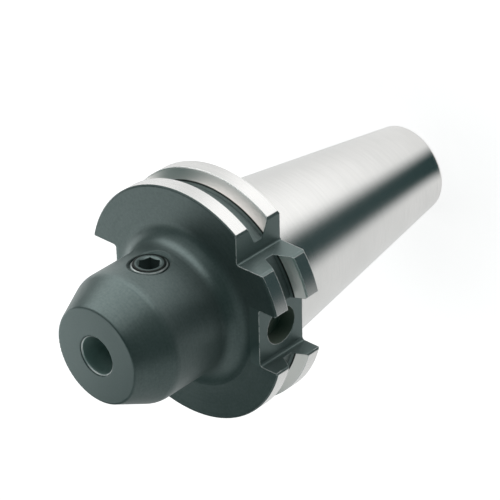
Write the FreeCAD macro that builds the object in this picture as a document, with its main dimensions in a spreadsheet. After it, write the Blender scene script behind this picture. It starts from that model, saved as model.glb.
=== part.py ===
import FreeCAD, Part
import os

import Sketcher

# Side lock end mill holder, size 40 steep taper, for 10 mm shanks with a clamping flat.
#
# Millimetres. +Z runs along the tool axis towards the nose. The origin lies on the axis in the
# gauge plane, where the taper has its gauge diameter. The clamp screw is on the +X side, and the
# two drive slots are on the -Y and +Y sides.

# Driving dimensions: alias, value, what it measures
DIMENSIONS = (
    # Taper shank
    ("gauge_dia", 44.45, "taper diameter in the gauge plane"),
    ("taper_rise", 7.0, "growth of the taper's diameter over one taper_run"),
    ("taper_run", 24.0, "length over which the diameter grows by taper_rise"),
    ("taper_length", 68.4, "gauge plane to small end"),
    ("small_end_chamfer", 0.5, "chamfer round the small end"),
    ("relief_dia", 43.6, "diameter of the grinding relief between taper and flange"),
    ("relief_root_radius", 0.8, "radius between the relief and the rear face of the flange"),
    # Gripper flange
    ("flange_rear", 3.2, "gauge plane to rear face of the flange"),
    ("flange_width", 15.9, "rear face to front face of the flange"),
    ("flange_dia", 63.55, "outer diameter of the flange"),
    ("flange_chamfer", 0.4, "chamfer round both faces of the flange"),
    ("vee_mouth_chamfer", 0.3, "depth of the chamfers at the edges of the V-groove's mouth"),
    ("vee_centre", 11.1, "gauge plane to middle of the V-groove"),
    ("vee_depth", 3.65, "depth of the V-groove below the flange's outer diameter"),
    ("vee_root_width", 2.86, "flat width at the root of the V-groove"),
    ("vee_angle", 60.0, "angle between the flanks of the V-groove"),
    # Drive slots and orientation notch
    ("slot_width", 16.1, "width of both drive slots"),
    ("deep_slot_floor", 22.8, "tool axis to floor of the drive slot on the +Y side"),
    ("shallow_slot_floor", 25.0, "tool axis to floor of the drive slot on the -Y side"),
    ("slot_corner_radius", 0.8, "radius between wall and floor of a drive slot"),
    ("notch_turn", 45.0, "angle from the clamp screw to the orientation notch"),
    ("notch_reach", 25.7, "tool axis to the sharp root of the orientation notch"),
    ("notch_angle", 90.0, "angle between the walls of the orientation notch"),
    ("notch_root_radius", 0.6, "radius at the root of the orientation notch"),
    ("slot_edge_chamfer", 0.5, "chamfer where the slots and the notch meet the outer diameter"),
    # Data carrier hole in the floor of the -Y drive slot
    ("carrier_dia", 10.0, "diameter of the data carrier hole"),
    ("carrier_depth", 4.6, "depth of the data carrier hole below the slot floor"),
    # Clamping nose
    ("nose_dia", 35.0, "diameter of the clamping nose"),
    ("nose_length", 50.0, "gauge plane to nose face"),
    ("nose_face_dia", 25.8, "diameter of the nose's cone in the plane of the nose face"),
    ("nose_cone_length", 10.0, "length of the nose's cone"),
    ("nose_shoulder_radius", 5.0, "radius between nose cylinder and cone"),
    ("nose_edge_radius", 0.5, "radius between cone and nose face"),
    ("nose_root_radius", 5.0, "radius between flange and nose cylinder"),
    # Tool bore and coolant hole
    ("bore_dia", 10.0, "diameter of the tool bore"),
    ("bore_depth", 42.0, "nose face to end of the tool bore's wall"),
    ("bore_chamfer", 0.5, "chamfer at the mouth of the tool bore"),
    ("drill_point_angle", 118.0, "angle of the drill points at the ends of holes"),
    ("coolant_dia", 6.0, "diameter of the coolant hole"),
    # Pull stud seat at the small end
    ("pilot_dia", 17.0, "diameter of the pull stud's pilot bore"),
    ("pilot_depth", 7.0, "small end to the end of the pilot bore"),
    ("pilot_chamfer", 0.8, "chamfer at the mouth of the pilot bore"),
    ("stud_thread_dia", 16.0, "diameter of the pull stud's thread"),
    ("stud_thread_depth", 34.0, "small end to the end of the pull stud's thread"),
    # Clamp screw and its cross hole
    ("screw_setback", 19.5, "nose face to axis of the clamp screw"),
    ("screw_dia", 10.0, "diameter of the clamp screw's thread"),
    ("screw_clearance", 0.05, "radial running clearance of the clamp screw"),
    ("screw_length", 12.0, "length of the clamp screw"),
    ("screw_sink", 0.3, "nose surface to the top of the clamp screw"),
    ("screw_travel_in", 1.5, "one turn of the clamp screw, down to the shank's flat"),
    ("screw_tip_dia", 7.0, "diameter of the clamp screw's flat tip"),
    ("screw_top_dia", 8.2, "diameter of the flat top round the hexagon socket"),
    ("screw_top_chamfer", 0.9, "height of the chamfer round the clamp screw's top"),
    ("sink_dia", 11.8, "diameter of the cross hole's countersink at the nose surface"),
    ("tap_drill_dia", 8.5, "diameter of the cross hole where its thread has run out"),
    ("tip_gap", 0.15, "radial gap between the thread's run-out and the screw's tip chamfer"),
    ("socket_width", 5.0, "width across the flats of the hexagon socket"),
    ("socket_depth", 4.8, "depth of the hexagon socket's flats"),
    ("socket_chamfer", 0.25, "depth of the chamfer at the mouth of the hexagon socket"),
    ("socket_mouth_angle", 120.0, "angle of the cone that chamfers the hexagon socket"),
    ("socket_turn", 20.0, "turn of the hexagon socket about the clamp screw's axis"),
)

# Reach of the cutting profiles past the surfaces that they cut
CUT_MARGIN = 3.0
# Height from which the flange's slots and notch are milled, clear of the radius at the nose's root
CUTTER_START = "dims.flange_rear + dims.flange_width + dims.nose_root_radius"
# Tolerance for finding an edge by its place
PLACE_TOLERANCE = 1e-4
# Features that take material away
CUTTING_KINDS = ("PartDesign::Groove", "PartDesign::Pocket", "PartDesign::Hole")


def make_sheet(doc):
    """Write the driving dimensions into a spreadsheet, one alias to a row."""
    sheet = doc.addObject("Spreadsheet::Sheet", "dims")
    for row, (alias, value, meaning) in enumerate(DIMENSIONS, start=1):
        sheet.set(f"A{row}", alias)
        sheet.set(f"B{row}", str(value))
        sheet.set(f"C{row}", meaning)
        sheet.setAlias(f"B{row}", alias)
    doc.recompute()
    return sheet


def make_body(doc, name):
    """Add a body whose label names its node."""
    body = doc.addObject("PartDesign::Body", name)
    body.Label = name
    return body


def number(item, expression):
    """Work out an expression in the spreadsheet's values."""
    return float(item.evalExpression(expression))


def add_sketch(body, name, role):
    """Add a sketch on one of the body's own origin planes."""
    sketch = body.newObject("Sketcher::SketchObject", name)
    plane = next(item for item in body.Origin.OriginFeatures if item.Role == role)
    sketch.AttachmentSupport = [(plane, "")]
    sketch.MapMode = "FlatFace"
    return sketch


def bind_coordinate(sketch, holder, kind, label, expression):
    """Tie a coordinate of a line's start, or of a point, to an expression or to its zero axis."""
    if expression == "0":
        axis = {"DistanceX": -2, "DistanceY": -1}[kind]
        sketch.addConstraint(Sketcher.Constraint("PointOnObject", holder, 1, axis))
        return
    start = number(sketch, expression)
    index = sketch.addConstraint(Sketcher.Constraint(kind, -1, 1, holder, 1, start))
    sketch.renameConstraint(index, label)
    sketch.setExpression(f"Constraints.{label}", expression)


def round_corner(sketch, line, label, radius):
    """Round the corner where a line starts, and give the point that keeps the sharp corner."""
    size = number(sketch, radius)
    sketch.fillet(line, 1, size, True, True)
    point = sketch.GeometryCount - 1
    arc = point - 1
    index = sketch.addConstraint(Sketcher.Constraint("Radius", arc, size))
    sketch.renameConstraint(index, f"{label}_radius")
    sketch.setExpression(f"Constraints.{label}_radius", radius)
    return point


def draw_outline(sketch, corners, rounds=()):
    """Draw a closed outline whose corners are (label, across, along) with expressions.

    A corner that rounds holds, as (label, radius), gets an arc of that radius.
    """
    radii = dict(rounds)
    places = [
        FreeCAD.Vector(number(sketch, across), number(sketch, along), 0)
        for _, across, along in corners
    ]
    for start, end in zip(places, places[1:] + places[:1]):
        sketch.addGeometry(Part.LineSegment(start, end), False)
    for line in range(len(corners)):
        following = (line + 1) % len(corners)
        sketch.addConstraint(Sketcher.Constraint("Coincident", line, 2, following, 1))
    for line, (label, across, along) in enumerate(corners):
        holder = round_corner(sketch, line, label, radii[label]) if label in radii else line
        bind_coordinate(sketch, holder, "DistanceX", f"{label}_across", across)
        bind_coordinate(sketch, holder, "DistanceY", f"{label}_along", along)


def turn_profile(body, kind, name, corners, rounds=()):
    """Turn an outline about the Z axis, as a Revolution or a Groove.

    The outline is drawn on the -X side, where nothing else is cut into the holder.
    """
    sketch = add_sketch(body, f"{name}Profile", "XZ_Plane")
    to_far_side = FreeCAD.Rotation(FreeCAD.Vector(0, 1, 0), 180)
    sketch.AttachmentOffset = FreeCAD.Placement(FreeCAD.Vector(0, 0, 0), to_far_side)
    draw_outline(sketch, corners, rounds)
    return revolve(body, kind, name, sketch, "V_Axis")


def revolve(body, kind, name, sketch, axis):
    """Add a full turn of a sketch about one of its own axes."""
    feature = body.newObject(f"PartDesign::{kind}", name)
    feature.Profile = sketch
    feature.ReferenceAxis = (sketch, [axis])
    feature.Angle = 360.0
    return feature


def cut_through(body, name, sketch):
    """Pocket a sketch right through the flange, downwards from its plane."""
    pocket = body.newObject("PartDesign::Pocket", name)
    pocket.Profile = sketch
    pocket.Type = "ThroughAll"
    return pocket


def ring_edges(body, radius, height):
    """Name the body's circular edges about the tool axis with this radius and height."""
    names = []
    for index, edge in enumerate(body.Shape.Edges, start=1):
        if not isinstance(edge.Curve, Part.Circle):
            continue
        centre = edge.Curve.Center
        misfits = (centre.x, centre.y, centre.z - number(body, height),
                   edge.Curve.Radius - number(body, radius))
        if all(abs(misfit) < PLACE_TOLERANCE for misfit in misfits):
            names.append(f"Edge{index}")
    return names


def soften(doc, body, name, edge_names, size):
    """Chamfer named edges of the body's last feature, with a bound size."""
    base = body.Tip
    chamfer = body.newObject("PartDesign::Chamfer", name)
    chamfer.Base = (base, edge_names)
    chamfer.setExpression("Size", size)
    doc.recompute()


def build_blank(doc, body):
    """Turn the outer form: taper, relief, flange, nose cylinder and nose cone."""
    small_end_radius = "(dims.gauge_dia - dims.taper_length * dims.taper_rise / dims.taper_run) / 2"
    flange_front = "dims.flange_rear + dims.flange_width"
    cone_start = "dims.nose_length - dims.nose_cone_length"
    turn_profile(body, "Revolution", "Blank", (
        ("axis_rear", "0", "-dims.taper_length"),
        ("small_end", small_end_radius, "-dims.taper_length"),
        ("gauge", "dims.gauge_dia / 2", "0"),
        ("relief_start", "dims.relief_dia / 2", "(dims.gauge_dia - dims.relief_dia) / 2"),
        ("relief_end", "dims.relief_dia / 2", "dims.flange_rear"),
        ("flange_rear", "dims.flange_dia / 2", "dims.flange_rear"),
        ("flange_front", "dims.flange_dia / 2", flange_front),
        ("nose_root", "dims.nose_dia / 2", flange_front),
        ("shoulder", "dims.nose_dia / 2", cone_start),
        ("nose_edge", "dims.nose_face_dia / 2", "dims.nose_length"),
        ("axis_front", "0", "dims.nose_length"),
    ), rounds=(
        ("relief_end", "dims.relief_root_radius"),
        ("nose_root", "dims.nose_root_radius"),
        ("shoulder", "dims.nose_shoulder_radius"),
        ("nose_edge", "dims.nose_edge_radius"),
    ))
    doc.recompute()
    small_end = ring_edges(body, small_end_radius, "-dims.taper_length")
    soften(doc, body, "SmallEndChamfer", small_end, "dims.small_end_chamfer")
    rims = ring_edges(body, "dims.flange_dia / 2", "dims.flange_rear")
    rims += ring_edges(body, "dims.flange_dia / 2", flange_front)
    soften(doc, body, "FlangeChamfers", rims, "dims.flange_chamfer")


def cut_vee(body):
    """Cut the gripper's V-groove round the flange, with its mouth's edges chamfered."""
    rim = "dims.flange_dia / 2"
    root = f"{rim} - dims.vee_depth"
    outside = f"{rim} + {CUT_MARGIN}"
    half_root = "dims.vee_root_width / 2"
    slope = "tan(dims.vee_angle / 2)"
    break_depth = "dims.vee_mouth_chamfer"
    half_break = f"({half_root} + (dims.vee_depth - {break_depth}) * {slope})"
    half_mouth = f"({half_break} + {break_depth} + {CUT_MARGIN})"
    turn_profile(body, "Groove", "VeeGroove", (
        ("root_rear", root, f"dims.vee_centre - {half_root}"),
        ("break_rear", f"{rim} - {break_depth}", f"dims.vee_centre - {half_break}"),
        ("mouth_rear", outside, f"dims.vee_centre - {half_mouth}"),
        ("mouth_front", outside, f"dims.vee_centre + {half_mouth}"),
        ("break_front", f"{rim} - {break_depth}", f"dims.vee_centre + {half_break}"),
        ("root_front", root, f"dims.vee_centre + {half_root}"),
    ))


def cut_bores(body):
    """Cut the tool bore with the coolant hole, and the pull stud's seat."""
    bore = "dims.bore_dia / 2"
    coolant = "dims.coolant_dia / 2"
    face = "dims.nose_length"
    bore_end = f"{face} - dims.bore_depth"
    thread_end = "-dims.taper_length + dims.stud_thread_depth"
    point = f"({bore} - {coolant}) / tan(dims.drill_point_angle / 2)"
    turn_profile(body, "Groove", "ToolBore", (
        ("axis_mouth", "0", face),
        ("mouth", f"{bore} + dims.bore_chamfer", face),
        ("chamfer_end", bore, f"{face} - dims.bore_chamfer"),
        ("wall_end", bore, bore_end),
        ("point_end", coolant, f"{bore_end} - {point}"),
        ("coolant_end", coolant, thread_end),
        ("axis_end", "0", thread_end),
    ))
    pilot = "dims.pilot_dia / 2"
    thread = "dims.stud_thread_dia / 2"
    rear = "-dims.taper_length"
    stud_point = f"({thread} - {coolant}) / tan(dims.drill_point_angle / 2)"
    turn_profile(body, "Groove", "PullStudSeat", (
        ("axis_mouth", "0", rear),
        ("mouth", f"{pilot} + dims.pilot_chamfer", rear),
        ("chamfer_end", pilot, f"{rear} + dims.pilot_chamfer"),
        ("pilot_end", pilot, f"{rear} + dims.pilot_depth"),
        ("thread_start", thread, f"{rear} + dims.pilot_depth"),
        ("thread_end", thread, thread_end),
        ("point_end", coolant, f"{thread_end} + {stud_point}"),
        ("axis_end", "0", f"{thread_end} + {stud_point}"),
    ))


def cut_drive_slots(body):
    """Mill the two drive slots right through the flange, each to its own depth.

    The outline flares at the flange's outer diameter, where the walls' edges are chamfered.
    """
    outside = f"(dims.flange_dia / 2 + {CUT_MARGIN})"
    half = "dims.slot_width / 2"
    edge = f"sqrt((dims.flange_dia / 2) ^ 2 - ({half}) ^ 2)"
    flare_start = f"({edge} - dims.slot_edge_chamfer)"
    half_mouth = f"({half} + {outside} - {flare_start})"
    for name, side, floor in (
        ("ShallowSlot", "-", "dims.shallow_slot_floor"),
        ("DeepSlot", "", "dims.deep_slot_floor"),
    ):
        sketch = add_sketch(body, f"{name}Outline", "XY_Plane")
        sketch.setExpression("AttachmentOffset.Base.z", CUTTER_START)
        draw_outline(sketch, (
            ("floor_left", f"-{half}", f"{side}{floor}"),
            ("floor_right", half, f"{side}{floor}"),
            ("flare_right", half, f"{side}{flare_start}"),
            ("mouth_right", half_mouth, f"{side}{outside}"),
            ("mouth_left", f"-{half_mouth}", f"{side}{outside}"),
            ("flare_left", f"-{half}", f"{side}{flare_start}"),
        ), rounds=(
            ("floor_left", "dims.slot_corner_radius"),
            ("floor_right", "dims.slot_corner_radius"),
        ))
        cut_through(body, name, sketch)


def cut_notch(body):
    """Mill the V-shaped orientation notch, between the clamp screw and the -Y slot.

    Each wall flares at the flange's outer diameter, half way between its own slope and square.
    """
    root = "dims.notch_reach"
    slope = "dims.notch_angle / 2"
    outside = f"(dims.flange_dia / 2 + {CUT_MARGIN})"
    wall = f"(sqrt((dims.flange_dia / 2) ^ 2 - ({root} * sin({slope})) ^ 2) - {root} * cos({slope}))"
    flare_run = f"({wall} - dims.slot_edge_chamfer)"
    flare_start = f"({root} + {flare_run} * cos({slope}))"
    half_flare = f"({flare_run} * sin({slope}))"
    half_mouth = f"({half_flare} + ({outside} - {flare_start}) * tan(45 + dims.notch_angle / 4))"
    sketch = add_sketch(body, "NotchOutline", "XY_Plane")
    downwards = FreeCAD.Rotation(FreeCAD.Vector(0, 0, -1), number(body, "dims.notch_turn"))
    sketch.AttachmentOffset = FreeCAD.Placement(FreeCAD.Vector(0, 0, 0), downwards)
    sketch.setExpression("AttachmentOffset.Rotation.Angle", "dims.notch_turn")
    sketch.setExpression("AttachmentOffset.Base.z", CUTTER_START)
    draw_outline(sketch, (
        ("root", root, "0"),
        ("flare_left", flare_start, f"-{half_flare}"),
        ("mouth_left", outside, f"-{half_mouth}"),
        ("mouth_right", outside, half_mouth),
        ("flare_right", flare_start, half_flare),
    ), rounds=(
        ("root", "dims.notch_root_radius"),
    ))
    cut_through(body, "OrientationNotch", sketch)


def drill_carrier_hole(doc, body):
    """Drill the flat-bottomed data carrier hole in the floor of the -Y drive slot."""
    sketch = add_sketch(body, "CarrierOutline", "XZ_Plane")
    sketch.setExpression("AttachmentOffset.Base.z", "dims.shallow_slot_floor")
    centre = FreeCAD.Vector(0, number(body, "dims.vee_centre"), 0)
    circle = Part.Circle(centre, FreeCAD.Vector(0, 0, 1), number(body, "dims.carrier_dia / 2"))
    sketch.addGeometry(circle, False)
    sketch.addConstraint(Sketcher.Constraint("PointOnObject", 0, 3, -2))
    height = sketch.addConstraint(Sketcher.Constraint("DistanceY", -1, 1, 0, 3, centre.y))
    sketch.renameConstraint(height, "height")
    sketch.setExpression("Constraints.height", "dims.vee_centre")
    size = sketch.addConstraint(Sketcher.Constraint("Diameter", 0, 2 * circle.Radius))
    sketch.renameConstraint(size, "size")
    sketch.setExpression("Constraints.size", "dims.carrier_dia")
    doc.recompute()
    hole = body.newObject("PartDesign::Hole", "CarrierHole")
    hole.Profile = sketch
    hole.DepthType = "Dimension"
    hole.DrillPoint = "Flat"
    hole.setExpression("Diameter", "dims.carrier_dia")
    hole.setExpression("Depth", "dims.carrier_depth")


def cut_cross_hole(body):
    """Cut the clamp screw's hole across the nose, from the tool bore out to its countersink."""
    surface = "dims.nose_dia / 2"
    thread = "dims.screw_dia / 2"
    drill = "dims.tap_drill_dia / 2"
    lowest_tip = f"({surface} - dims.screw_sink - dims.screw_length - dims.screw_travel_in)"
    run_out = f"{lowest_tip} - dims.screw_tip_dia / 2 - dims.tip_gap"
    sketch = add_sketch(body, "ScrewHoleProfile", "XZ_Plane")
    sketch.setExpression("AttachmentOffset.Base.y", "dims.nose_length - dims.screw_setback")
    draw_outline(sketch, (
        ("axis_inner", "0", "0"),
        ("drill_inner", "0", drill),
        ("drill_outer", f"{run_out} + {drill}", drill),
        ("thread_inner", f"{run_out} + {thread}", thread),
        ("sink_start", f"{surface} - dims.sink_dia / 2 + {thread}", thread),
        ("sink_end", f"{surface} + {CUT_MARGIN}", f"dims.sink_dia / 2 + {CUT_MARGIN}"),
        ("axis_outer", f"{surface} + {CUT_MARGIN}", "0"),
    ))
    revolve(body, "Groove", "ScrewHole", sketch, "H_Axis")


def build_holder(doc):
    """Build the holder, one turned, milled and ground piece."""
    body = make_body(doc, "holder_body")
    build_blank(doc, body)
    cut_vee(body)
    cut_notch(body)
    cut_drive_slots(body)
    drill_carrier_hole(doc, body)
    cut_bores(body)
    cut_cross_hole(body)
    doc.recompute()
    return body


def build_clamp_screw(doc):
    """Build the clamp screw with its tip on the local origin, and seat it in its hole."""
    body = make_body(doc, "clamp_screw")
    tip = "dims.screw_tip_dia / 2"
    thread = "(dims.screw_dia / 2 - dims.screw_clearance)"
    top = "dims.screw_length"
    turn_profile(body, "Revolution", "ScrewBlank", (
        ("axis_tip", "0", "0"),
        ("tip", tip, "0"),
        ("thread_tip", thread, f"{thread} - {tip}"),
        ("thread_top", thread, f"{top} - dims.screw_top_chamfer"),
        ("top", "dims.screw_top_dia / 2", top),
        ("axis_top", "0", top),
    ))
    cut_socket(body, top)
    body.Placement = FreeCAD.Placement(
        FreeCAD.Vector(0, 0, 0), FreeCAD.Rotation(FreeCAD.Vector(0, 1, 0), 90))
    body.setExpression("Placement.Base.x", f"dims.nose_dia / 2 - dims.screw_sink - {top}")
    body.setExpression("Placement.Base.z", "dims.nose_length - dims.screw_setback")
    doc.recompute()
    return body


def cut_socket(body, top):
    """Cut the hexagon socket, its conical bottom and the chamfer at its mouth."""
    half_width = "dims.socket_width / 2"
    corner = f"{half_width} / cos(30)"
    half_side = f"{half_width} * tan(30)"
    turn = number(body, "dims.socket_turn")
    sketch = add_sketch(body, "SocketOutline", "XY_Plane")
    about_axis = FreeCAD.Rotation(FreeCAD.Vector(0, 0, 1), turn)
    sketch.AttachmentOffset = FreeCAD.Placement(FreeCAD.Vector(0, 0, 0), about_axis)
    sketch.setExpression("AttachmentOffset.Rotation.Angle", "dims.socket_turn")
    sketch.setExpression("AttachmentOffset.Base.z", top)
    draw_outline(sketch, (
        ("right_low", half_width, f"-{half_side}"),
        ("right_high", half_width, half_side),
        ("high", "0", corner),
        ("left_high", f"-{half_width}", half_side),
        ("left_low", f"-{half_width}", f"-{half_side}"),
        ("low", "0", f"-{corner}"),
    ))
    socket = body.newObject("PartDesign::Pocket", "Socket")
    socket.Profile = sketch
    socket.Type = "Length"
    socket.setExpression("Length", "dims.socket_depth")
    floor = f"{top} - dims.socket_depth"
    turn_profile(body, "Groove", "SocketPoint", (
        ("axis_floor", "0", floor),
        ("rim", half_width, floor),
        ("point", "0", f"{floor} - {half_width} / tan(dims.drill_point_angle / 2)"),
    ))
    slope = "tan(dims.socket_mouth_angle / 2)"
    turn_profile(body, "Groove", "SocketMouth", (
        ("axis_top", "0", top),
        ("rim", f"{half_width} + dims.socket_chamfer * {slope}", top),
        ("point", "0", f"{top} - dims.socket_chamfer - {half_width} / {slope}"),
    ))


def check_document(doc, parts):
    """Stop if an object failed, a cut took nothing away or a part isn't one valid solid."""
    for item in doc.Objects:
        if "Invalid" in item.State or "Error" in item.State:
            raise RuntimeError(f"{item.Name} failed: {item.State}")
    for item in doc.Objects:
        if item.TypeId in CUTTING_KINDS and item.Shape.Volume >= item.BaseFeature.Shape.Volume:
            raise RuntimeError(f"{item.Name} cut nothing")
    for part in parts:
        if part.Shape.isNull() or not part.Shape.isValid() or len(part.Shape.Solids) != 1:
            raise RuntimeError(f"{part.Label} isn't one valid solid")


def main():
    """Build the document, check it and write one STEP file for each part."""
    doc = FreeCAD.newDocument("SideLockHolder")
    make_sheet(doc)
    parts = (build_holder(doc), build_clamp_screw(doc))
    doc.recompute()
    check_document(doc, parts)
    os.makedirs("parts", exist_ok=True)
    for part in parts:
        part.Shape.exportStep(f"parts/{part.Label}.step")
        box = part.Shape.BoundBox
        print(f"{part.Label}: {part.Shape.Volume:.1f} mm3, "
              f"{box.XLength:.2f} x {box.YLength:.2f} x {box.ZLength:.2f} mm")


main()
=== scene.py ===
"""Looks of a side lock end mill holder with a size 40 steep taper.

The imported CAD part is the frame. The holder's body keeps its CAD mesh and gets a finish whose zones
follow the part: ground taper, V-groove and flange rims, and blackened steel everywhere else. The
clamp screw is replaced by one with a real thread, and the pull stud's hole gets its thread.

Sizes are in millimetres and angles in degrees unless a name says otherwise. The Blender scene is in
metres. In the part's frame the taper points to -Z and the nose to +Z, the clamp screw lies on +X, and
the drive slots on +Y and -Y. The data carrier hole is in the floor of the slot on -Y.
"""

import logging
import math
from dataclasses import dataclass
from enum import Enum
from typing import Callable, Iterable, Mapping, Sequence, TypeAlias

import bmesh
import bpy
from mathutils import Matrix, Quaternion, Vector


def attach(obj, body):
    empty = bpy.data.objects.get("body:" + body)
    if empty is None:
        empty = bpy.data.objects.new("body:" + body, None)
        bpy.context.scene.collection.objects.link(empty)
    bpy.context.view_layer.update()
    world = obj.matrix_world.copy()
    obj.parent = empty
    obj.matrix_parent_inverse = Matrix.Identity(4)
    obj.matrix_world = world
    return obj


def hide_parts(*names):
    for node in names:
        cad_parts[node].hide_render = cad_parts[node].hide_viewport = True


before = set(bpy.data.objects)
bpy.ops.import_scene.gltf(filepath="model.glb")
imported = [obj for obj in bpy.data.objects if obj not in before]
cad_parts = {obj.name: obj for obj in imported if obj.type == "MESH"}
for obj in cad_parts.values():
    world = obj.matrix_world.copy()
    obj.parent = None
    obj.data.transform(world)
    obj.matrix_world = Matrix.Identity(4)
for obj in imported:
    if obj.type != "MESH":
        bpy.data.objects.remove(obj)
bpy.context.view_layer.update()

log = logging.getLogger("holder_scene")

MM = 0.001
SHARP_ANGLE = 28.0
WELD_METRES = 1e-7

Colour: TypeAlias = tuple[float, float, float]
Range: TypeAlias = tuple[float, float]
Socket: TypeAlias = bpy.types.NodeSocket
Value: TypeAlias = "Term | float"

WHITE: Colour = (1.0, 1.0, 1.0)


# Shader nodes


class Operation(Enum):
    """What a Math node does with its values."""

    ADD = "ADD"
    SUBTRACT = "SUBTRACT"
    MULTIPLY = "MULTIPLY"
    POWER = "POWER"
    ABSOLUTE = "ABSOLUTE"
    LARGER = "MAXIMUM"
    ANGLE = "ARCTAN2"


class Term:
    """A shader socket with a number, which takes part in Python arithmetic."""

    def __init__(self, graph: "Graph", socket: Socket) -> None:
        """Wrap an output socket of a node graph."""
        self.graph = graph
        self.socket = socket

    def __add__(self, other: Value) -> "Term":
        """Give the sum."""
        return self.graph.math(Operation.ADD, self, other)

    def __radd__(self, other: Value) -> "Term":
        """Give the sum."""
        return self.graph.math(Operation.ADD, other, self)

    def __sub__(self, other: Value) -> "Term":
        """Give the difference."""
        return self.graph.math(Operation.SUBTRACT, self, other)

    def __rsub__(self, other: Value) -> "Term":
        """Give the difference."""
        return self.graph.math(Operation.SUBTRACT, other, self)

    def __mul__(self, other: Value) -> "Term":
        """Give the product."""
        return self.graph.math(Operation.MULTIPLY, self, other)

    def __rmul__(self, other: Value) -> "Term":
        """Give the product."""
        return self.graph.math(Operation.MULTIPLY, other, self)

    def __pow__(self, other: Value) -> "Term":
        """Give the power."""
        return self.graph.math(Operation.POWER, self, other)

    def __rpow__(self, other: Value) -> "Term":
        """Give the power."""
        return self.graph.math(Operation.POWER, other, self)

    def __abs__(self) -> "Term":
        """Give the absolute value."""
        return self.graph.math(Operation.ABSOLUTE, self)

    def at_least(self, other: Value) -> "Term":
        """Give the larger of the two."""
        return self.graph.math(Operation.LARGER, self, other)

    def rise(self, low: float, high: float) -> "Term":
        """Go smoothly from 0 at low to 1 at high.

        Args:
            low: Value up to which the result is 0.
            high: Value from which the result is 1. It may be less than low, for a fall.

        Returns:
            The mask.
        """
        made = self.graph.node(
            "ShaderNodeMapRange",
            {"interpolation_type": "SMOOTHSTEP"},
            {"Value": self, "From Min": low, "From Max": high},
        )
        return Term(self.graph, made.outputs["Result"])

    def above(self, edge: float, soft: float) -> "Term":
        """Give 1 above an edge and 0 below it, with the half width of the soft step."""
        return self.rise(edge - soft, edge + soft)

    def below(self, edge: float, soft: float) -> "Term":
        """Give 1 below an edge and 0 above it, with the half width of the soft step."""
        return self.rise(edge + soft, edge - soft)

    def within(self, span: Range, soft: float) -> "Term":
        """Give 1 between two edges and 0 outside, with the half width of the soft steps."""
        return self.above(span[0], soft) * self.below(span[1], soft)


def hypotenuse(a: Term, b: Term) -> Term:
    """Give the distance from the origin of a point in a plane."""
    return (a * a + b * b) ** 0.5


@dataclass(frozen=True)
class Grain:
    """A noise's waves per unit of its vector, and its number of finer layers."""

    scale: float
    layers: float


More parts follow.
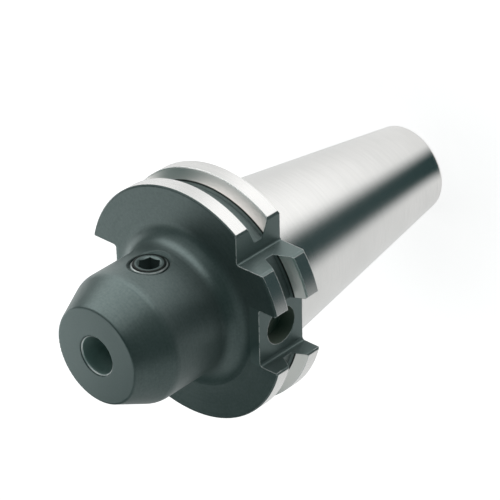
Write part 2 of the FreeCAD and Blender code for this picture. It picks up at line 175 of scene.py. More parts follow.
class Graph:
    """The nodes of a material or of the world."""

    edge_samples: int = 8
    edge_bend: Range = (0.003, 0.04)

    def __init__(self, owner: bpy.types.ID) -> None:
        """Start an empty graph.

        Args:
            owner: The material or world whose nodes are made.
        """
        owner.use_nodes = True
        self.tree = owner.node_tree
        self.tree.nodes.clear()

    def node(
        self,
        kind: str,
        settings: Mapping[str, object] | None = None,
        inputs: Mapping[str | int, object] | None = None,
    ) -> bpy.types.Node:
        """Add a node.

        Args:
            kind: Blender's name of the node's type.
            settings: The node's own settings, which are set first.
            inputs: A value or a link for each named or numbered input socket.

        Returns:
            The node.
        """
        made = self.tree.nodes.new(kind)
        for name, setting in (settings or {}).items():
            setattr(made, name, setting)
        for key, value in (inputs or {}).items():
            if isinstance(value, Term):
                value = value.socket
            if isinstance(value, Socket):
                self.tree.links.new(value, made.inputs[key])
            else:
                made.inputs[key].default_value = value
        return made

    def math(self, operation: Operation, *values: Value) -> Term:
        """Add a Math node with its values or links, and give its result."""
        made = self.node("ShaderNodeMath", {"operation": operation.value}, dict(enumerate(values)))
        return Term(self, made.outputs[0])

    def blend(self, share: Value, low: Colour | Socket, high: Colour | Socket) -> Socket:
        """Mix two colours.

        Args:
            share: 0 for low, 1 for high.
            low: A colour or a colour socket.
            high: A colour or a colour socket.

        Returns:
            The mixed colour's socket.
        """
        ends = [(*end, 1.0) if isinstance(end, tuple) else end for end in (low, high)]
        made = self.node("ShaderNodeMix", {"data_type": "RGBA"}, {0: share, 6: ends[0], 7: ends[1]})
        return made.outputs[2]

    def coats(self, under: Socket, layers: Iterable[tuple[Value, Colour | Socket]]) -> Socket:
        """Lay colours over a colour.

        Args:
            under: The colour's socket.
            layers: Share and colour of each layer, the lowest first.

        Returns:
            The socket of the colour that they give.
        """
        for share, colour in layers:
            under = self.blend(share, under, colour)
        return under

    def vector(self, x: Value, y: Value, z: Value) -> Socket:
        """Join three numbers into a vector."""
        return self.node("ShaderNodeCombineXYZ", None, {"X": x, "Y": y, "Z": z}).outputs[0]

    def noise(self, place: Socket, grain: Grain) -> Term:
        """Add a noise around 0.5, read at the place that a vector socket gives."""
        inputs = {"Vector": place, "Scale": grain.scale, "Detail": grain.layers}
        return Term(self, self.node("ShaderNodeTexNoise", None, inputs).outputs["Fac"])

    def bump(self, height: Term, under: Socket | None = None) -> Socket:
        """Turn a height into a normal.

        Args:
            height: Height of the relief in millimetres.
            under: Socket of the normal below it.

        Returns:
            The normal's socket.
        """
        inputs = {"Height": height, "Distance": MM, "Strength": 1.0}
        if under is not None:
            inputs["Normal"] = under
        return self.node("ShaderNodeBump", None, inputs).outputs["Normal"]

    def place(self) -> tuple[Term, Term, Term]:
        """Give the shaded point's place in the part's frame, in millimetres.

        Returns:
            The three coordinates.
        """
        found = self.node("ShaderNodeTexCoord").outputs["Object"]
        scaled = self.node(
            "ShaderNodeVectorMath", {"operation": "SCALE"}, {0: found, "Scale": 1 / MM}
        )
        parts = self.node("ShaderNodeSeparateXYZ", None, {0: scaled.outputs[0]})
        return tuple(Term(self, socket) for socket in parts.outputs)

    def rounded_edges(self, radius: float) -> tuple[Socket, Term]:
        """Round the edges of the shape in its normals, and find them.

        Args:
            radius: Radius of the rounding.

        Returns:
            The rounded normal's socket, and a mask of 0 on smooth surfaces, towards 1 on edges.
        """
        settings = {"samples": self.edge_samples}
        rounded = self.node("ShaderNodeBevel", settings, {"Radius": radius * MM}).outputs[0]
        plain = self.node("ShaderNodeNewGeometry").outputs["Normal"]
        facing = self.node(
            "ShaderNodeVectorMath", {"operation": "DOT_PRODUCT"}, {0: rounded, 1: plain}
        )
        bend = 1 - Term(self, facing.outputs["Value"])
        return rounded, bend.rise(*self.edge_bend)

    def camera_ray(self) -> Term:
        """Give 1 where the camera looks straight at the surface, and 0 in reflections and light."""
        return Term(self, self.node("ShaderNodeLightPath").outputs["Is Camera Ray"])

    def glow(self, colour: Socket | tuple[float, float, float, float]) -> Socket:
        """Add a shader that glows in a colour of its own."""
        return self.node("ShaderNodeEmission", None, {"Color": colour}).outputs[0]

    def switch(self, share: Value, low: Socket, high: Socket) -> Socket:
        """Mix two shaders, with a share of 0 for low and 1 for high."""
        return self.node("ShaderNodeMixShader", None, {0: share, 1: low, 2: high}).outputs[0]

    def surface(self, shader: Socket) -> None:
        """Link a shader to the material's output."""
        self.node("ShaderNodeOutputMaterial", None, {"Surface": shader})

    def principled(self, inputs: Mapping[str, object]) -> None:
        """Finish the material with a Principled BSDF that has these inputs."""
        self.surface(self.node("ShaderNodeBsdfPrincipled", None, inputs).outputs[0])


# Finishes


class Spot:
    """The shaded point of the holder's body."""

    drift: float = 0.02

    def __init__(self, graph: Graph) -> None:
        """Find the point.

        Args:
            graph: The material's graph.
        """
        self.x, self.y, self.z = graph.place()
        self.radius = hypotenuse(self.x, self.y)
        self.place = graph.vector(self.x, self.y, self.z)
        self.ring = graph.vector(
            self.radius + self.x * self.drift,
            self.z + self.y * self.drift,
            (self.x - self.y) * self.drift,
        )


@dataclass(frozen=True)
class GroundSteel:
    """Bright steel, ground all round, with fine circumferential lines."""

    bright: Colour = (0.87, 0.855, 0.84)
    dull: Colour = (0.79, 0.78, 0.765)
    # Near-white painted highlight on the ground zones' edges; also the colour of the bright chamfer at
    # the tool bore's mouth.
    edge: Colour = (0.97, 0.97, 0.96)
    highlight_dielectric: float = 0.85
    flank: Colour = (0.91, 0.868, 0.842)
    flank_share: float = 0.8
    flank_roughness: float = 0.12
    roughness: float = 0.24
    roughness_spread: float = 0.08
    lines: Grain = Grain(6.0, 3.0)
    line_weight: float = 0.7
    clouds: Grain = Grain(0.08, 2.0)
    contrast: Range = (0.30, 0.70)
    relief_lines: Grain = Grain(18.0, 3.0)
    relief_depth: float = 0.0005

    def look(self, graph: Graph, at: Spot) -> tuple[Socket, Term]:
        """Make the colour and the roughness.

        Args:
            graph: The material's graph.
            at: The shaded point.

        Returns:
            The colour's socket, and the roughness.
        """
        lines = graph.noise(at.ring, self.lines)
        cloud = graph.noise(at.place, self.clouds)
        tone = (lines * self.line_weight + cloud * (1 - self.line_weight)).rise(*self.contrast)
        roughness = lines * self.roughness_spread + (self.roughness - self.roughness_spread / 2)
        return graph.blend(tone, self.dull, self.bright), roughness

    def relief(self, graph: Graph, at: Spot) -> Term:
        """Give the height of the grinding lines."""
        return graph.noise(at.ring, self.relief_lines) * self.relief_depth


@dataclass(frozen=True)
class BlackenedSteel:
    """Hardened steel with a thin black oxide layer over fine turning marks."""

    light: Colour = (0.154, 0.192, 0.187)
    dark: Colour = (0.110, 0.145, 0.141)
    worn: Colour = (0.68, 0.69, 0.68)
    # Painted shade: a near-black colour for edges, the V-groove's corner and a ring on the clamp
    # screw's top.
    painted_shade: Colour = (0.012, 0.016, 0.014)
    honed: Colour = (0.40, 0.51, 0.49)
    matte: Colour = (0.165, 0.20, 0.165)
    face_tone: Colour = (0.174, 0.218, 0.214)
    milled: Colour = (0.19, 0.245, 0.238)
    metal: float = 0.62
    roughness: float = 0.42
    roughness_spread: float = 0.10
    clouds: Grain = Grain(0.12, 3.0)
    cloud_weight: float = 0.35
    marks: Grain = Grain(3.2, 2.0)
    mark_weight: float = 0.25
    mark_depth: float = 0.0025
    spots: Grain = Grain(1.6, 2.0)
    contrast: Range = (0.30, 0.70)
    pores: Grain = Grain(9.0, 2.0)
    pore_depth: float = 0.003

    def look(self, graph: Graph, at: Spot) -> tuple[Socket, Term]:
        """Make the colour and the roughness.

        Args:
            graph: The material's graph.
            at: The shaded point.

        Returns:
            The colour's socket, and the roughness.
        """
        cloud = graph.noise(at.place, self.clouds)
        marks = graph.noise(at.ring, self.marks)
        spots = graph.noise(at.place, self.spots)
        tone = cloud * self.cloud_weight + marks * self.mark_weight
        tone = tone + spots * (1 - self.cloud_weight - self.mark_weight)
        roughness = (marks + cloud) * self.roughness_spread + (self.roughness - self.roughness_spread)
        return graph.blend(tone.rise(*self.contrast), self.dark, self.light), roughness

    def relief(self, graph: Graph, at: Spot) -> Term:
        """Give the height of the turning marks and the pores."""
        marks = graph.noise(at.ring, self.marks) * self.mark_depth
        return marks + graph.noise(at.place, self.pores) * self.pore_depth


@dataclass(frozen=True)
class HolderZones:
    """Places on the holder's body that tell its finishes apart.

    A zone's edge lies a little beside the edge of the form that it follows, so that the zone ends
    cleanly on that edge. The first three sizes are half widths of the soft steps there.
    """

    sharp: float = 0.02
    soft: float = 0.05
    wide: float = 0.1
    taper_top: float = 0.04
    taper_end_radius: float = 11.95
    rims: Range = (3.15, 18.7)
    rim_radius: float = 31.66
    groove_heights: Range = (5.2, 16.7)
    profile_radii: Range = (27.8, 31.5)
    foot_radii: Range = (28.745, 29.12)
    root_radii: Range = (28.065, 28.165)
    root_end: float = 9.6
    root_rear: float = 9.75
    root_front: float = 12.3
    slot_half_width: float = 8.05
    slot_flare_start: float = 30.24
    slot_floor: float = 22.0
    notch_reach: float = 25.7
    notch_flare_start: float = 30.93
    notch_half_width: float = 5.23
    notch_flare_slope: float = 2.41
    cut_soft: float = 0.03
    nose_face: float = 49.94
    bore_radius: float = 5.04
    bore_mouth_radius: float = 5.28
    bore_end: float = 7.95
    carrier_radius: float = 5.04
    carrier_height: float = 11.1
    carrier_depths: Range = (-24.94, -20.1)

    def ground(self, at: Spot) -> Term:
        """Find the ground surfaces.

        Args:
            at: The shaded point.

        Returns:
            1 on the taper, the rims and the V-groove's flanks, and 0 elsewhere.
        """
        taper = at.z.below(self.taper_top, self.sharp)
        taper = taper * at.radius.above(self.taper_end_radius, self.soft)
        band = at.z.within(self.rims, self.sharp)
        band = band * at.radius.above(self.foot_radii[1], self.soft)
        return taper.at_least(band * (1 - self.cuts(at)))

    def flanks(self, at: Spot) -> Term:
        """Find the V-groove inside the rims, on the flange's ground zones."""
        return at.z.above(self.rims[0], self.wide) * at.radius.below(self.rim_radius, self.soft)

    def profile(self, at: Spot) -> Term:
        """Find the V-groove's outline in the walls of the slots and the notch."""
        depth = at.radius.within(self.profile_radii, self.wide)
        return depth * at.z.within(self.groove_heights, self.wide)

    def foot(self, at: Spot) -> Term:
        """Find the foot of the V-groove's rear flank.

        Args:
            at: The shaded point.

        Returns:
            1 on the strip beside the ground part, where shade is painted, and 0 elsewhere.
        """
        strip = at.radius.within(self.foot_radii, self.wide)
        height = at.z.above(self.rims[0], self.soft) * at.z.below(self.root_rear, self.soft)
        return strip * height * (1 - self.cuts(at))

    def root(self, at: Spot) -> Term:
        """Find the V-groove's root.

        Args:
            at: The shaded point.

        Returns:
            A mask on the root's floor, where shade is painted, which rises from 0 at its front to 1 at
            its rear.
        """
        floor = at.radius.within(self.root_radii, self.sharp)
        slope = at.z.rise(self.root_front, self.root_rear) * at.z.above(self.root_end, self.soft)
        return floor * slope * (1 - self.cuts(at))

    def face(self, at: Spot) -> Term:
        """Find the front face of the nose."""
        return at.z.above(self.nose_face, self.soft)

    def bore(self, at: Spot) -> Term:
        """Find the tool bore's wall and the chamfer at its mouth."""
        inside = at.radius.below(self.bore_mouth_radius, self.sharp)
        return inside * at.z.above(self.bore_end, self.soft)

    def bore_mouth(self, at: Spot) -> Term:
        """Find the chamfer at the tool bore's mouth."""
        return self.bore(at) * at.radius.above(self.bore_radius, self.sharp)

    def carrier(self, at: Spot) -> Term:
        """Find the data carrier hole's wall and floor."""
        inside = hypotenuse(at.x, at.z - self.carrier_height).below(self.carrier_radius, self.sharp)
        return inside * at.y.within(self.carrier_depths, self.soft)

    def cuts(self, at: Spot, margin: float = 0.1) -> Term:
        """Find the slots and the notch.

        Args:
            at: The shaded point.
            margin: Width of the strip beside them that still counts.

        Returns:
            1 on their walls, floors and edge chamfers, and 0 elsewhere.
        """
        start = self.cut_soft - margin
        flare = (abs(at.y) - self.slot_flare_start).at_least(0.0) + self.slot_half_width
        slots = (flare - abs(at.x)).above(start, self.cut_soft)
        slots = slots * abs(at.y).above(self.slot_floor - margin + self.soft, self.soft)
        along = (at.x - at.y) * math.sqrt(0.5)
        across = abs(at.x + at.y) * math.sqrt(0.5)
        wall = (along - self.notch_flare_start) * self.notch_flare_slope + self.notch_half_width
        wall = wall.at_least(along - self.notch_reach)
        return slots.at_least((wall - across).above(start, self.cut_soft))


@dataclass(frozen=True)
class HolderFinish:
    """The finish of the holder's body: ground zones on blackened steel, with painted highlight and
    painted shade.
    """

    ground: GroundSteel = GroundSteel()
    black: BlackenedSteel = BlackenedSteel()
    zones: HolderZones = HolderZones()
    edge_width: float = 0.32
    wear_margin: float = 0.6
    wear_spots: Grain = Grain(0.9, 2.0)
    wear_patches: Range = (0.25, 0.50)
    wear_share: float = 0.9
    wear_gloss: float = 0.06
    profile_fresh: float = 0.75
    # Share of painted shade on the edges outside the slots and the notch.
    edge_painted_shade: float = 0.5
    face_tone_share: float = 0.6
    milled_share: float = 0.5
    root_lines: Grain = Grain(2.2, 1.0)
    root_patches: Range = (0.75, 0.35)
    root_painted_shade: float = 0.25
    bore_dielectric: float = 0.5

    def build(self) -> bpy.types.Material:
        """Make the material.

        Returns:
            The material.
        """
        material = bpy.data.materials.new("holder_steel")
        graph = Graph(material)
        at = Spot(graph)
        bright = self.zones.ground(at)
        rounded, edge = graph.rounded_edges(self.edge_width)
        painted_edge_highlight = edge * bright
        flanks = self.zones.flanks(at)
        black, rough_black = self.black.look(graph, at)
        ground, rough_ground = self.ground.look(graph, at)
        worn = self.wear(graph, at, edge * (1 - bright))
        black = graph.coats(black, self.black_layers(graph, at, edge, worn))
        # Painted highlight: near-white on the edges of the ground zones.
        ground = graph.coats(ground, (
            (flanks * self.ground.flank_share, self.ground.flank),
            (painted_edge_highlight, self.ground.edge),
        ))
        rough_ground = rough_ground + flanks * self.ground.flank_roughness
        relief = self.ground.relief(graph, at) * bright
        relief = relief + self.black.relief(graph, at) * (1 - bright)
        graph.principled({
            "Base Color": graph.blend(bright, black, ground),
            "Metallic": self.metal(at, bright, painted_edge_highlight),
            "Roughness": rough_black + (rough_ground - rough_black) * bright - worn * self.wear_gloss,
            "Normal": graph.bump(relief, rounded),
        })
        return material

    def wear(self, graph: Graph, at: Spot, edge: Term) -> Term:
        """Find where the oxide is worn off the edges of the slots and the notch.

        Args:
            graph: The material's graph.
            at: The shaded point.
            edge: Mask of the edges that are blackened.

        Returns:
            The mask, which is weaker on the V-groove's outline.
        """
        patches = graph.noise(at.place, self.wear_spots).rise(*self.wear_patches)
        worn = edge * self.zones.cuts(at, self.wear_margin) * patches
        return worn * (1 - self.zones.profile(at) * self.profile_fresh)

    def black_layers(
        self, graph: Graph, at: Spot, edge: Term, worn: Term
    ) -> list[tuple[Term, Colour | Socket]]:
        """List the colours that lie on the blackened steel, painted shade among them.

        Args:
            graph: The material's graph.
            at: The shaded point.
            edge: Mask of all edges.
            worn: Mask of the worn edges.

        Returns:
            Share and colour of each layer, the lowest first.
        """
        # Painted shade on the V-groove's root, darker towards its rear corner and broken up by noise.
        root = self.zones.root(at) * self.root_painted_shade
        root = root * graph.noise(at.ring, self.root_lines).rise(*self.root_patches)
        honed = graph.blend(self.zones.bore_mouth(at), self.black.honed, self.ground.edge)
        return [
            # Painted shade: a dark line on the edges outside the slots and the notch.
            (edge * (1 - self.zones.cuts(at, self.wear_margin)) * self.edge_painted_shade, self.black.painted_shade),
            (worn * self.wear_share, self.black.worn),
            # Lighter on the nose's front face.
            (self.zones.face(at) * self.face_tone_share, self.black.face_tone),
            (self.zones.cuts(at) * (1 - worn) * self.milled_share, self.black.milled),
            # Painted shade on the foot of the rear flank and on the root.
            (self.zones.foot(at).at_least(root), self.black.painted_shade),
            (self.zones.bore(at), honed),
            (self.zones.carrier(at), self.black.matte),
        ]

    def metal(self, at: Spot, bright: Term, painted_edge_highlight: Term) -> Term:
        """Give the share of bare metal.

        Args:
            at: The shaded point.
            bright: Mask of the ground zones.
            painted_edge_highlight: Mask of their edges, where a highlight is painted.

        Returns:
            The share, less in the bore and on the edges with the painted highlight, and none in the
            data carrier hole.
        """
        share = bright * (1 - self.black.metal) + self.black.metal
        wall = (self.zones.bore(at) - self.zones.bore_mouth(at)) * self.bore_dielectric
        dull = wall.at_least(painted_edge_highlight * self.ground.highlight_dielectric)
        return share * (1 - self.zones.carrier(at)) * (1 - dull)


@dataclass(frozen=True)
class ScrewFinish:
    """The clamp screw's satin black oxide, worn on its crests, with rings round the socket of painted
    shade and of wear with painted highlight.
    """

    crest_radius: float
    lip: float
    height: float
    top: float
    black: BlackenedSteel = BlackenedSteel()
    soft: float = 0.05
    lead: float = 1.15
    crest_width: float = 0.07
    crest_wear: float = 0.6
    ring_wear_and_highlight: float = 0.7
    highlight_ring_span: Range = (0.21, 0.45)
    ring_soft: float = 0.03
    shade_span: Range = (-0.50, 0.13)
    wear_patches: Range = (0.25, 0.45)
    pores: Grain = Grain(6.0, 3.0)
    marks: Grain = Grain(4.0, 2.0)
    mark_weight: float = 0.5
    contrast: Range = (0.35, 0.65)
    edge_width: float = 0.12
    roughness_spread: float = 0.15
    gloss: float = 0.10
    relief_depth: float = 0.004

    def build(self) -> bpy.types.Material:
        """Make the material.

        Returns:
            The material.
        """
        material = bpy.data.materials.new("screw_oxide")
        graph = Graph(material)
        x, y, z = graph.place()
        radius = hypotenuse(y, z - self.height)
        pores = graph.noise(graph.vector(x, y, z), self.pores)
        marks = graph.noise(graph.vector(radius, x, 0.0), self.marks)
        texture = pores * (1 - self.mark_weight) + marks * self.mark_weight
        end = x.above(self.top - self.lead, self.soft)
        crest = radius.above(self.crest_radius - self.crest_width, self.soft) * (1 - end)
        # A bright ring just outside the lip, which is wear and a painted highlight.
        ring = radius.within(self.beside_lip(self.highlight_ring_span), self.ring_soft) * end
        # Painted shade: a dark ring on the top next to the lip.
        shade = radius.within(self.beside_lip(self.shade_span), self.soft) * end
        wear = (crest * self.crest_wear).at_least(ring * self.ring_wear_and_highlight)
        colour = graph.blend(texture.rise(*self.contrast), self.black.dark, self.black.light)
        layers = ((shade, self.black.painted_shade), (wear * pores.rise(*self.wear_patches), self.black.worn))
        rounded, _ = graph.rounded_edges(self.edge_width)
        graph.principled({
            "Base Color": graph.coats(colour, layers),
            "Metallic": self.black.metal,
            "Roughness": pores * self.roughness_spread + (self.black.roughness - self.gloss),
            "Normal": graph.bump(texture * self.relief_depth, rounded),
        })
        return material

    def beside_lip(self, span: Range) -> Range:
        """Give the radii of a ring from its distances to the lip."""
        return (self.lip + span[0], self.lip + span[1])


@dataclass(frozen=True)
class CutThreadFinish:
    """Freshly cut thread flanks in hardened steel, lighter towards the crests, with painted shade in
    the roots.
    """

    crest_radius: float
    root_radius: float
    black: BlackenedSteel = BlackenedSteel()
    pores: Grain = Grain(4.0, 3.0)
    pore_share: float = 0.3
    crest_share: float = 0.5
    roughness: float = 0.28
    roughness_spread: float = 0.2
    relief_depth: float = 0.006

    def build(self) -> bpy.types.Material:
        """Make the material.

        Returns:
            The material.
        """
        material = bpy.data.materials.new("cut_thread_steel")
        graph = Graph(material)
        x, y, z = graph.place()
        pores = graph.noise(graph.vector(x, y, z), self.pores)
        # Painted shade: darker towards the thread's roots, lighter on the crests.
        crest = hypotenuse(x, y).rise(self.root_radius, self.crest_radius)
        share = crest * self.crest_share + pores * self.pore_share
        graph.principled({
            "Base Color": graph.blend(share, self.black.dark, self.black.worn),
            "Metallic": 1.0,
            "Roughness": pores * self.roughness_spread + self.roughness,
            "Normal": graph.bump(pores * self.relief_depth),
        })
        return material


# Pieces


def link(name: str, data: bpy.types.ID) -> bpy.types.Object:
    """Put an object into the scene.

    Args:
        name: Name of the object.
        data: Its mesh, lamp or camera.

    Returns:
        The object.
    """
    made = bpy.data.objects.new(name, data)
    bpy.context.scene.collection.objects.link(made)
    return made


def loft(name: str, loops: Sequence[Sequence[Vector]], closed_ends: bool) -> bpy.types.Object:
    """Skin rings of points into a mesh object.

    Args:
        name: Name of the object.
        loops: Rings with the same number of points each, in order.
        closed_ends: Whether the first and last ring shrink to one point.

    Returns:
        The object, in metres in the part's frame.
    """
    mesh = bmesh.new()
    rows = [[mesh.verts.new(point * MM) for point in loop] for loop in loops]
    count = len(rows[0])
    for lower, upper in zip(rows, rows[1:]):
        for k in range(count):
            following = (k + 1) % count
            mesh.faces.new((lower[k], lower[following], upper[following], upper[k]))
    if closed_ends:
        for row in (rows[0], rows[-1]):
            bmesh.ops.pointmerge(mesh, verts=row, merge_co=row[0].co)
    bmesh.ops.remove_doubles(mesh, verts=mesh.verts, dist=WELD_METRES)
    bmesh.ops.recalc_face_normals(mesh, faces=mesh.faces)
    data = bpy.data.meshes.new(name)
    mesh.to_mesh(data)
    mesh.free()
    data.shade_smooth()
    data.set_sharp_from_angle(angle=math.radians(SHARP_ANGLE))
    return link(name, data)


@dataclass(frozen=True)
class ThreadForm:
    """A metric thread's profile, with flat crests and roots."""

    pitch: float
    crest_radius: float
    root_radius: float
    crest_share: float = 0.125
    root_painted_shade: float = 0.25
    steps: int = 16

    def radius_at(self, phase: float) -> float:
        """Give the thread's radius at a place in its pitch.

        Args:
            phase: Place in the pitch, from 0 to 1. The crest is centred on 0.

        Returns:
            The radius.
        """
        away = abs((phase + 0.5) % 1.0 - 0.5)
        half_crest = self.crest_share / 2
        half_root = self.root_painted_shade / 2
        slope = (away - half_crest) / (0.5 - half_root - half_crest)
        share = min(max(slope, 0.0), 1.0)
        return self.crest_radius + (self.root_radius - self.crest_radius) * share


@dataclass(frozen=True)
class ClampScrew:
    """The M10 clamp screw with its thread and hexagon socket, in the place that the CAD gives it."""

    tip_across: float = 5.2
    tip_height: float = 30.5
    length: float = 12.0
    tip_radius: float = 3.5
    top_radius: float = 4.1
    top_chamfer: float = 0.9
    socket_width: float = 5.0
    socket_depth: float = 4.8
    socket_chamfer: float = 0.36
    socket_turn: float = 10.0
    floor_share: float = 0.999
    point_angle: float = 118.0
    thread: ThreadForm = ThreadForm(pitch=1.5, crest_radius=4.95, root_radius=4.14)
    columns: int = 96

    def point(self, along: float, radius: float, turn: float) -> Vector:
        """Give a point on the screw.

        Args:
            along: Distance from the tip, towards the socket.
            radius: Distance from the screw's axis.
            turn: Angle about the screw's axis.

        Returns:
            The point in the part's frame.
        """
        angle = math.radians(turn)
        across, rise = radius * math.sin(angle), -radius * math.cos(angle)
        return Vector((self.tip_across + along, across, self.tip_height + rise))

    def turns(self) -> list[float]:
        """Give the angles of a ring's points."""
        return [360 * k / self.columns + self.socket_turn for k in range(self.columns)]

    def ring(self, along: float, radius: Callable[[float], float]) -> list[Vector]:
        """Give a ring of points at a distance from the tip, with the radius that an angle gives."""
        return [self.point(along, radius(turn), turn) for turn in self.turns()]

    def circle(self, along: float, radius: float) -> list[Vector]:
        """Give a round ring of points."""
        return self.ring(along, lambda turn: radius)

    def envelope(self, along: float) -> float:
        """Give the radius of the blank from which the thread is cut.

        Args:
            along: Distance from the tip.

        Returns:
            The radius, smaller on the chamfers at the tip and the top.
        """
        crest = self.thread.crest_radius
        top_slope = (crest - self.top_radius) / self.top_chamfer
        return min(crest, self.tip_radius + along, self.top_radius + (self.length - along) * top_slope)

    def hexagon(self, turn: float) -> float:
        """Give the distance from the screw's axis to the socket's side at an angle about the axis."""
        away = (turn - self.socket_turn) % 60 - 30
        return self.socket_width / 2 / math.cos(math.radians(30 - abs(away)))

    def thread_loops(self) -> list[list[Vector]]:
        """Give the helical rows of the thread from tip to top.

        Returns:
            Rings that climb one pitch in a turn, held between the tip and the top.
        """
        form = self.thread
        loops = []
        for row in range(-form.steps, int(self.length / form.pitch + 1) * form.steps + 1):
            loop = []
            for k, turn in enumerate(self.turns()):
                along = form.pitch * (row / form.steps + k / self.columns)
                held = min(max(along, 0.0), self.length)
                radius = self.envelope(held)
                if held == along:
                    radius = min(form.radius_at(row / form.steps), radius)
                loop.append(self.point(held, radius, turn))
            loops.append(loop)
        return loops

    def socket_loops(self) -> list[list[Vector]]:
        """Give the rings of the socket.

        Returns:
            The chamfer's round mouth, its hexagonal foot, the floor and the drill's point.
        """
        half = self.socket_width / 2
        mouth = half + self.socket_chamfer * math.sqrt(3)
        floor = self.length - self.socket_depth
        foot = []
        for turn in self.turns():
            radius = self.hexagon(turn)
            foot.append(self.point(self.length - (mouth - radius) / math.sqrt(3), radius, turn))
        return [
            self.circle(self.length, mouth),
            foot,
            self.ring(floor, self.hexagon),
            self.circle(floor, half * self.floor_share),
            self.circle(floor - half / math.tan(math.radians(self.point_angle / 2)), 0.0),
        ]

    def build(self) -> bpy.types.Object:
        """Build the screw.

        Returns:
            The screw's mesh object.
        """
        loops = [self.circle(0.0, 0.0), self.circle(0.0, self.tip_radius)]
        loops += self.thread_loops() + self.socket_loops()
        made = loft("threaded_clamp_screw", loops, closed_ends=True)
        top = self.tip_across + self.length
        finish = ScrewFinish(self.thread.crest_radius, self.top_radius, self.tip_height, top)
        made.data.materials.append(finish.build())
        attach(made, "screw")
        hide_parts("clamp_screw")
        return made


@dataclass(frozen=True)
class PullStudThread:
    """The M16 thread in the pull stud's hole at the small end."""

    start: float = -61.3
    end: float = -36.0
    wall_radius: float = 7.99
    thread: ThreadForm = ThreadForm(pitch=2.0, crest_radius=6.92, root_radius=7.90)
    columns: int = 96

    def point(self, share: float, radius: float, height: float) -> Vector:
        """Give a point in the part's frame at a share of a turn about the hole's axis."""
        angle = 2 * math.pi * share
        return Vector((radius * math.cos(angle), radius * math.sin(angle), height))

    def build(self) -> bpy.types.Object:
        """Build the thread as a ribbed sleeve against the hole's wall.

        Returns:
            The thread's mesh object.
        """
        form = self.thread
        shares = [k / self.columns for k in range(self.columns)]
        rows = int((self.end - self.start) / form.pitch * form.steps)
        loops = []
        for row in range(-form.steps, rows + 1):
            loop = []
            for share in shares:
                along = self.start + form.pitch * (row / form.steps + share)
                held = min(max(along, self.start), self.end)
                lead = min(held - self.start, self.end - held)
                radius = max(form.radius_at(row / form.steps), form.root_radius - lead)
                loop.append(self.point(share, radius, held))
            loops.append(loop)
        for height in (self.end, self.start):
            loops.append([self.point(share, self.wall_radius, height) for share in shares])
        loops.append(loops[0])
        made = loft("pull_stud_thread", loops, closed_ends=False)
        finish = CutThreadFinish(form.crest_radius, form.root_radius)
        made.data.materials.append(finish.build())
        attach(made, "holder")
        return made


@dataclass(frozen=True)
class HolderBody:
    """The holder's body, which keeps its CAD mesh."""

    node: str = "holder_body"
    finish: HolderFinish = HolderFinish()

    def build(self) -> bpy.types.Object:
        """Dress the CAD node.

        Returns:
            The CAD node's object.
        """
        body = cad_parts[self.node]
        material = self.finish.build()
        for place in body.material_slots:
            place.material = material
        return body


# Studio


def direction(azimuth: float, elevation: float) -> Vector:
    """Give a unit vector.

    Args:
        azimuth: Angle from +X towards +Y.
        elevation: Angle above the horizon.

    Returns:
        The vector.
    """
    turn, rise = math.radians(azimuth), math.radians(elevation)
    flat = math.cos(rise)
    return Vector((flat * math.cos(turn), flat * math.sin(turn), math.sin(rise)))


def grey(level: float) -> Colour:
    """Give a neutral colour."""
    return (level, level, level)


def sheet(
    name: str, points: Sequence[Vector], faces: Sequence[Sequence[int]], material: bpy.types.Material
) -> bpy.types.Object:
    """Lay a flat sheet.

    Args:
        name: Name of the object.
        points: Its corners in millimetres.
        faces: Numbers of each face's corners.
        material: Its material.

    Returns:
        The sheet's object.
    """
    mesh = bpy.data.meshes.new(name)
    mesh.from_pydata([point * MM for point in points], [], faces)
    mesh.materials.append(material)
    return link(name, mesh)


@dataclass(frozen=True)
class PaintedGlowZone:
    """A round zone of painted glow on the floor, brighter or darker than the rest, with a soft edge,
    which only reflections show.
    """

    level: float
    centre: tuple[float, float]
    radii: Range

    def over(self, graph: Graph, x: Term, y: Term, below: Colour | Socket) -> Socket:
        """Lay the zone over the floor's other colours.

        Args:
            graph: The floor's graph.
            x: First coordinate of the shaded point.
            y: Second coordinate of the shaded point.
            below: Colour or colour socket without the zone.

        Returns:
            The colour's socket.
        """
        inner, outer = self.radii
        mask = hypotenuse(x - self.centre[0], y - self.centre[1]).rise(outer, inner)
        return graph.blend(mask, below, grey(self.level))


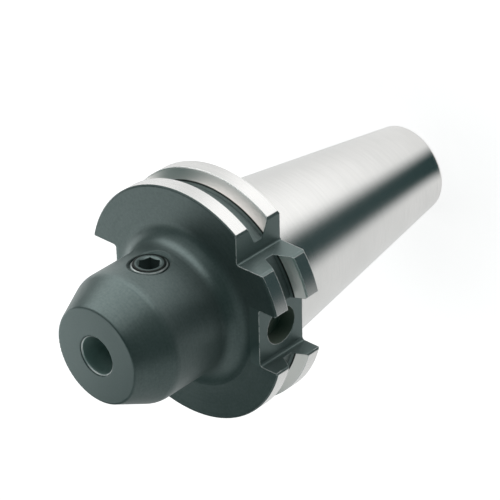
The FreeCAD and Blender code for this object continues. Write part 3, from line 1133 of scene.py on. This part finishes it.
@dataclass(frozen=True)
class Floor:
    """The floor: white but for the object's shadow, with a painted glow in zones that only reflections
    show, and clear from below.
    """

    height: float = -68.5
    radius: float = 350.0
    corners: int = 120
    paper: float = 0.35
    # Painted glow of the floor that only reflections see, with brighter and darker zones laid over it.
    level: float = 0.62
    zones: tuple[PaintedGlowZone, ...] = (
        PaintedGlowZone(1.00, (113.0, -42.0), (40.0, 132.0)),
        PaintedGlowZone(1.35, (137.0, 376.0), (140.0, 310.0)),
        PaintedGlowZone(0.35, (-137.0, -376.0), (200.0, 360.0)),
    )
    white: float = 0.84
    white_fade: Range = (16.0, 92.0)

    def material(self) -> bpy.types.Material:
        """Make the floor's paper and its painted glow for reflections.

        Returns:
            The material.
        """
        made = bpy.data.materials.new("floor_paper_and_painted_glow")
        graph = Graph(made)
        x, y, _ = graph.place()
        # Painted glow for reflections: brighter pools of light and a darker patch.
        painted_reflection_glow = grey(self.level)
        for zone in self.zones:
            painted_reflection_glow = zone.over(graph, x, y, painted_reflection_glow)
        far = hypotenuse(x, y).rise(*self.white_fade)
        seen = graph.blend(far, grey(self.white), WHITE)
        glow = graph.glow(graph.blend(graph.camera_ray(), painted_reflection_glow, seen))
        paper = graph.node("ShaderNodeBsdfDiffuse", None, {"Color": (*grey(self.paper), 1.0)})
        lit = graph.node("ShaderNodeAddShader", None, {0: paper.outputs[0], 1: glow}).outputs[0]
        clear = graph.node("ShaderNodeBsdfTransparent").outputs[0]
        under = graph.node("ShaderNodeNewGeometry").outputs["Backfacing"]
        graph.surface(graph.switch(under, lit, clear))
        return made

    def build(self) -> bpy.types.Object:
        """Lay the floor.

        Returns:
            The floor.
        """
        lift = Vector((0.0, 0.0, self.height))
        turns = (360 * k / self.corners for k in range(self.corners))
        rim = [direction(turn, 0.0) * self.radius + lift for turn in turns]
        floor = sheet("floor", rim, [tuple(range(self.corners))], self.material())
        return floor


@dataclass(frozen=True)
class DarkCard:
    """A dark glowing fan on the floor beside the camera's line of sight, which only reflections show:
    a painted dark reflection.
    """

    height: float = -68.0
    spread: Range = (-125.0, -10.0)
    reach: Range = (12.65, 350.0)
    steps: int = 24
    apex: tuple[float, float] = (3.9, -3.9)
    fade_in: Range = (-111.0, -82.0)
    fade_out: Range = (-59.5, -23.5)
    colour: Colour = (0.022, 0.046, 0.047)

    def material(self) -> bpy.types.Material:
        """Make the card's dark glow, a painted dark reflection, which fades to clear towards both
        straight sides.

        Returns:
            The material.
        """
        made = bpy.data.materials.new("dark_card_painted_reflection")
        graph = Graph(made)
        x, y, _ = graph.place()
        turn = graph.math(Operation.ANGLE, y - self.apex[1], x - self.apex[0])
        start, full = map(math.radians, self.fade_in)
        fading, end = map(math.radians, self.fade_out)
        share = turn.rise(start, full) * turn.rise(end, fading)
        clear = graph.node("ShaderNodeBsdfTransparent").outputs[0]
        # Painted dark reflection: the card glows in a dark teal.
        graph.surface(graph.switch(share, clear, graph.glow((*self.colour, 1.0))))
        return made

    def build(self) -> bpy.types.Object:
        """Lay the card.

        Returns:
            The card.
        """
        start, end = self.spread
        lift = Vector((0.0, 0.0, self.height))
        points = []
        for k in range(self.steps + 1):
            flat = direction(start + (end - start) * k / self.steps, 0.0)
            points += [flat * reach + lift for reach in self.reach]
        faces = [(k, k + 1, k + 3, k + 2) for k in range(0, 2 * self.steps, 2)]
        card = sheet("dark_card", points, faces, self.material())
        card.visible_camera = False
        card.visible_diffuse = False
        card.visible_shadow = False
        return card


@dataclass(frozen=True)
class Softbox:
    """An area lamp that faces the origin.

    Its radiance is in watts per square metre and steradian.
    """

    name: str
    azimuth: float
    elevation: float
    distance: float
    width: float
    height: float
    radiance: float

    def build(self) -> bpy.types.Object:
        """Hang the lamp.

        Returns:
            The lamp.
        """
        data = bpy.data.lights.new(self.name, "AREA")
        data.shape = "RECTANGLE"
        data.size, data.size_y = self.width * MM, self.height * MM
        data.energy = self.radiance * math.pi * data.size * data.size_y
        lamp = link(self.name, data)
        away = direction(self.azimuth, self.elevation)
        lamp.location = away * self.distance * MM
        lamp.rotation_mode = "QUATERNION"
        lamp.rotation_quaternion = (-away).to_track_quat("-Z", "Y")
        lamp.visible_camera = False
        return lamp


@dataclass(frozen=True)
class Camera:
    """The camera at the photograph's viewing angle."""

    aim: tuple[float, float, float] = (2.06848, 1.93767, -7.79648)
    distance: float = 720.079
    azimuth: float = -47.95175
    elevation: float = 39.02153
    roll: float = 121.07026
    lens: float = 204.6631
    sensor: float = 36.0
    clip_metres: Range = (0.05, 20.0)

    def build(self) -> bpy.types.Object:
        """Set up the camera.

        Returns:
            The camera.
        """
        data = bpy.data.cameras.new("camera")
        data.lens = self.lens
        data.sensor_width = self.sensor
        data.clip_start, data.clip_end = self.clip_metres
        camera = link("camera", data)
        away = direction(self.azimuth, self.elevation)
        camera.location = (Vector(self.aim) + away * self.distance) * MM
        level = (-away).to_track_quat("-Z", "Y")
        camera.rotation_mode = "QUATERNION"
        camera.rotation_quaternion = level @ Quaternion((0, 0, 1), -math.radians(self.roll))
        bpy.context.scene.camera = camera
        return camera


@dataclass(frozen=True)
class Studio:
    """Plain pale floor with painted glow for reflections, a dark card as painted reflection, soft
    light, a dim room and the camera.
    """

    camera: Camera = Camera()
    floor: Floor = Floor()
    card: DarkCard = DarkCard()
    room: Colour = (0.004, 0.046, 0.041)
    lamps: tuple[Softbox, ...] = (
        Softbox("key_softbox", 15.0, 7.0, 260.0, 520.0, 130.0, 2.3),
        Softbox("upper_softbox", 22.0, 50.0, 260.0, 260.0, 130.0, 0.50),
        Softbox("rear_softbox", 105.0, 7.0, 260.0, 130.0, 130.0, 1.9),
        Softbox("rear_upper_softbox", 117.0, 43.0, 150.0, 84.0, 90.0, 1.35),
        Softbox("side_softbox", -150.0, 20.0, 260.0, 430.0, 280.0, 0.50),
        Softbox("top_softbox", -140.0, 63.0, 260.0, 200.0, 110.0, 0.42),
    )

    def build_world(self) -> None:
        """Make the room: white to the camera, a dim teal to the object."""
        world = bpy.data.worlds.new("studio")
        bpy.context.scene.world = world
        graph = Graph(world)
        colour = graph.blend(graph.camera_ray(), self.room, WHITE)
        sky = graph.node("ShaderNodeBackground", None, {"Color": colour})
        graph.node("ShaderNodeOutputWorld", None, {"Surface": sky.outputs[0]})

    def build(self) -> None:
        """Set up the whole studio."""
        self.camera.build()
        self.build_world()
        for part in (self.floor, self.card, *self.lamps):
            part.build()
        bpy.context.scene.view_settings.view_transform = "Standard"


def main() -> None:
    """Build the pieces and the studio in order."""
    logging.basicConfig(level=logging.INFO, format="%(name)s: %(message)s")
    for sub_assembly in (HolderBody(), ClampScrew(), PullStudThread()):
        made = sub_assembly.build()
        log.info("%s: %d faces", made.name, len(made.data.polygons))
    Studio().build()
    log.info("studio is set up")


if __name__ == "__main__":
    main()
